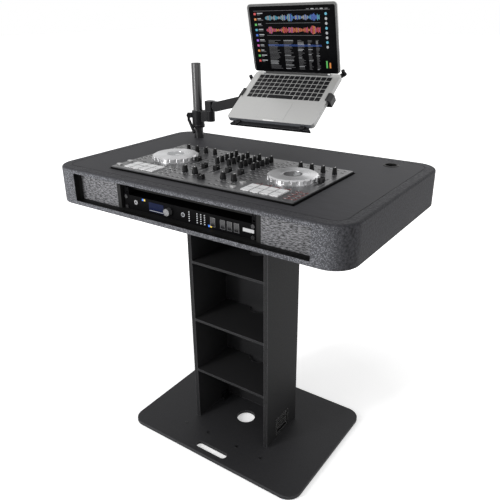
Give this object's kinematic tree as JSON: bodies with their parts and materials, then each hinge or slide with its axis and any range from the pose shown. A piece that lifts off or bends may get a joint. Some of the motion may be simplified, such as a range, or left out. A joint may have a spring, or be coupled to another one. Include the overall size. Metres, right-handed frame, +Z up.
{
  "type": "dj booth",
  "caption": "Pedestal DJ booth with a round-cornered desk, sunk controller, front rack bay, shelved column and a laptop on a clamp-on sprung arm.",
  "frame": {"origin": "on the floor, under the middle of the desk", "axes": "+X to the right of someone who faces the rack bay, +Y to the rear, +Z up"},
  "size_m": [1.04, 0.66, 1.4695],
  "materials": {
    "textured_board": "charcoal textured coat on board",
    "smooth_board": "black laminate on board",
    "speckled_panel": "light grey speckled coat on board",
    "foot_rubber": "matt black",
    "black_plastic": "black moulded",
    "bolt_steel": "black oxide",
    "rack_steel": "black powder coat",
    "mast_steel": "gloss black",
    "arm_metal": "black anodised casting",
    "laptop_metal": "fine blasted silver",
    "key_plastic": "matt black",
    "screen_glass": "gloss black with a lit picture",
    "face_metal": "brushed grey",
    "jog_metal": "silver with a brushed platter",
    "pad_rubber": "white translucent",
    "button_metal": "silver",
    "knob_plastic": "black with a pale pointer",
    "display_glass": "dark blue display",
    "encoder_plastic": "grey satin"
  },
  "bodies": {
    "stand": {"base_plate": "textured_board", "base_feet": "foot_rubber", "column_left": "smooth_board", "column_right": "smooth_board", "column_back": "smooth_board", "shelf_lower": "smooth_board", "shelf_middle": "smooth_board", "shelf_upper": "smooth_board", "column_vent": "black_plastic", "column_brackets": "bolt_steel", "booth_bolts": "bolt_steel", "desk_band": "textured_board", "desk_top": "textured_board", "desk_bottom": "smooth_board", "controller_well": "smooth_board", "bay_boards": "smooth_board", "front_panels": "speckled_panel", "rack_rails": "rack_steel", "cable_grommet": "black_plastic", "mast_pole": "mast_steel", "mast_cap": "black_plastic", "controller_case": "black_plastic", "controller_face": "face_metal", "performance_pads": "pad_rubber", "controller_knobs": "knob_plastic", "controller_buttons": "button_metal", "rack_unit": "rack_steel", "rack_display": "display_glass", "rack_buttons": "encoder_plastic"},
    "lift": {"stop_ring": "arm_metal"},
    "collar": {"collar_clamp": "arm_metal"},
    "lever": {"clamp_lever": "arm_metal"},
    "knuckle": {"elbow_knuckle": "arm_metal"},
    "arm": {"spring_arm": "arm_metal"},
    "wrist": {"wrist_knuckle": "arm_metal"},
    "forearm": {"forearm": "arm_metal"},
    "tray": {"tray_plate": "arm_metal", "rear_posts": "arm_metal", "laptop_base": "laptop_metal", "laptop_keys": "key_plastic", "laptop_trackpad": "laptop_metal"},
    "clip_left": {"side_clip_left": "black_plastic"},
    "clip_right": {"side_clip_right": "black_plastic"},
    "lid": {"laptop_lid": "laptop_metal", "laptop_hinge": "black_plastic", "laptop_screen": "screen_glass"},
    "jog_left": {"jog_left": "jog_metal"},
    "jog_right": {"jog_right": "jog_metal"},
    "cross_fader": {"cross_fader": "knob_plastic"},
    "tempo_left": {"tempo_left": "knob_plastic"},
    "tempo_right": {"tempo_right": "knob_plastic"},
    "cue_left": {"cue_left": "button_metal"},
    "cue_right": {"cue_right": "button_metal"},
    "play_left": {"play_left": "button_metal"},
    "play_right": {"play_right": "button_metal"},
    "encoder": {"rack_encoder": "encoder_plastic"},
    "channel_1": {"channel_fader_1": "knob_plastic"},
    "channel_2": {"channel_fader_2": "knob_plastic"},
    "channel_3": {"channel_fader_3": "knob_plastic"},
    "channel_4": {"channel_fader_4": "knob_plastic"}
  },
  "joints": [
    {"name": "collar_height", "type": "slide", "parent": "stand", "child": "lift", "axis": [0, 0, 1], "range_m": [-0.015, 0.15]},
    {"name": "collar_swivel", "type": "hinge", "parent": "lift", "child": "collar", "pos_m": [-0.387, 0.245, 1.07325], "axis": [0, 0, 1], "range_deg": [-90, 90]},
    {"name": "lever_release", "type": "hinge", "parent": "collar", "child": "lever", "pos_m": [-0.41649, 0.22435, 1.082], "axis": [-0.5736, 0.8192, 0], "range_deg": [0, 110]},
    {"name": "elbow_swivel", "type": "hinge", "parent": "collar", "child": "knuckle", "pos_m": [-0.33919, 0.25962, 1.1003], "axis": [0, 0, 1], "range_deg": [-110, 120]},
    {"name": "arm_lift", "type": "hinge", "parent": "knuckle", "child": "arm", "pos_m": [-0.3047, 0.26052, 1.1185], "axis": [0.0262, -0.9997, 0], "range_deg": [-6, 25]},
    {"name": "wrist_level", "type": "hinge", "parent": "arm", "child": "wrist", "pos_m": [-0.1932, 0.26344, 1.14734], "axis": [0.0262, -0.9997, 0], "range_deg": [-25, 6]},
    {"name": "forearm_swivel", "type": "hinge", "parent": "wrist", "child": "forearm", "pos_m": [-0.15872, 0.26434, 1.12914], "axis": [0, 0, 1], "range_deg": [-50, 90]},
    {"name": "tray_tilt", "type": "hinge", "parent": "forearm", "child": "tray", "pos_m": [0.02465, 0.22285, 1.15054], "axis": [0.9998, 0, 0.0175], "range_deg": [-35, 10]},
    {"name": "clip_left_slide", "type": "slide", "parent": "tray", "child": "clip_left", "axis": [-0.9998, 0, -0.0175], "range_m": [0, 0.02]},
    {"name": "clip_right_slide", "type": "slide", "parent": "tray", "child": "clip_right", "axis": [0.9998, 0, 0.0175], "range_m": [0, 0.02]},
    {"name": "lid_hinge", "type": "hinge", "parent": "tray", "child": "lid", "pos_m": [0.02287, 0.27008, 1.2522], "axis": [-0.9998, 0, -0.0175], "range_deg": [-105, 20]},
    {"name": "jog_left_spin", "type": "hinge", "parent": "stand", "child": "jog_left", "pos_m": [-0.221, -0.0745, 1.005], "axis": [0, 0, 1], "continuous": true},
    {"name": "tempo_left_slide", "type": "slide", "parent": "stand", "child": "tempo_left", "axis": [0, 1, 0], "range_m": [-0.038, 0.038]},
    {"name": "jog_right_spin", "type": "hinge", "parent": "stand", "child": "jog_right", "pos_m": [0.221, -0.0745, 1.005], "axis": [0, 0, 1], "continuous": true},
    {"name": "tempo_right_slide", "type": "slide", "parent": "stand", "child": "tempo_right", "axis": [0, 1, 0], "range_m": [-0.038, 0.038]},
    {"name": "channel_1_slide", "type": "slide", "parent": "stand", "child": "channel_1", "axis": [0, 1, 0], "range_m": [-0.03, 0.03]},
    {"name": "channel_2_slide", "type": "slide", "parent": "stand", "child": "channel_2", "axis": [0, 1, 0], "range_m": [-0.03, 0.03]},
    {"name": "channel_3_slide", "type": "slide", "parent": "stand", "child": "channel_3", "axis": [0, 1, 0], "range_m": [-0.03, 0.03]},
    {"name": "channel_4_slide", "type": "slide", "parent": "stand", "child": "channel_4", "axis": [0, 1, 0], "range_m": [-0.03, 0.03]},
    {"name": "cross_fader_slide", "type": "slide", "parent": "stand", "child": "cross_fader", "axis": [1, 0, 0], "range_m": [-0.027, 0.027]},
    {"name": "cue_left_press", "type": "slide", "parent": "stand", "child": "cue_left", "axis": [0, 0, 1], "range_m": [-0.0015, 0], "stiffness_N_per_m": 150, "springref_m": 0.001},
    {"name": "cue_right_press", "type": "slide", "parent": "stand", "child": "cue_right", "axis": [0, 0, 1], "range_m": [-0.0015, 0], "stiffness_N_per_m": 150, "springref_m": 0.001},
    {"name": "play_left_press", "type": "slide", "parent": "stand", "child": "play_left", "axis": [0, 0, 1], "range_m": [-0.0015, 0], "stiffness_N_per_m": 150, "springref_m": 0.001},
    {"name": "play_right_press", "type": "slide", "parent": "stand", "child": "play_right", "axis": [0, 0, 1], "range_m": [-0.0015, 0], "stiffness_N_per_m": 150, "springref_m": 0.001},
    {"name": "encoder_turn", "type": "hinge", "parent": "stand", "child": "encoder", "pos_m": [-0.061, -0.291, 0.91725], "axis": [0, 1, 0], "continuous": true}
  ],
  "couplings": [
    {"joint": "wrist_level", "follows": "arm_lift", "ratio": -1}
  ]
}
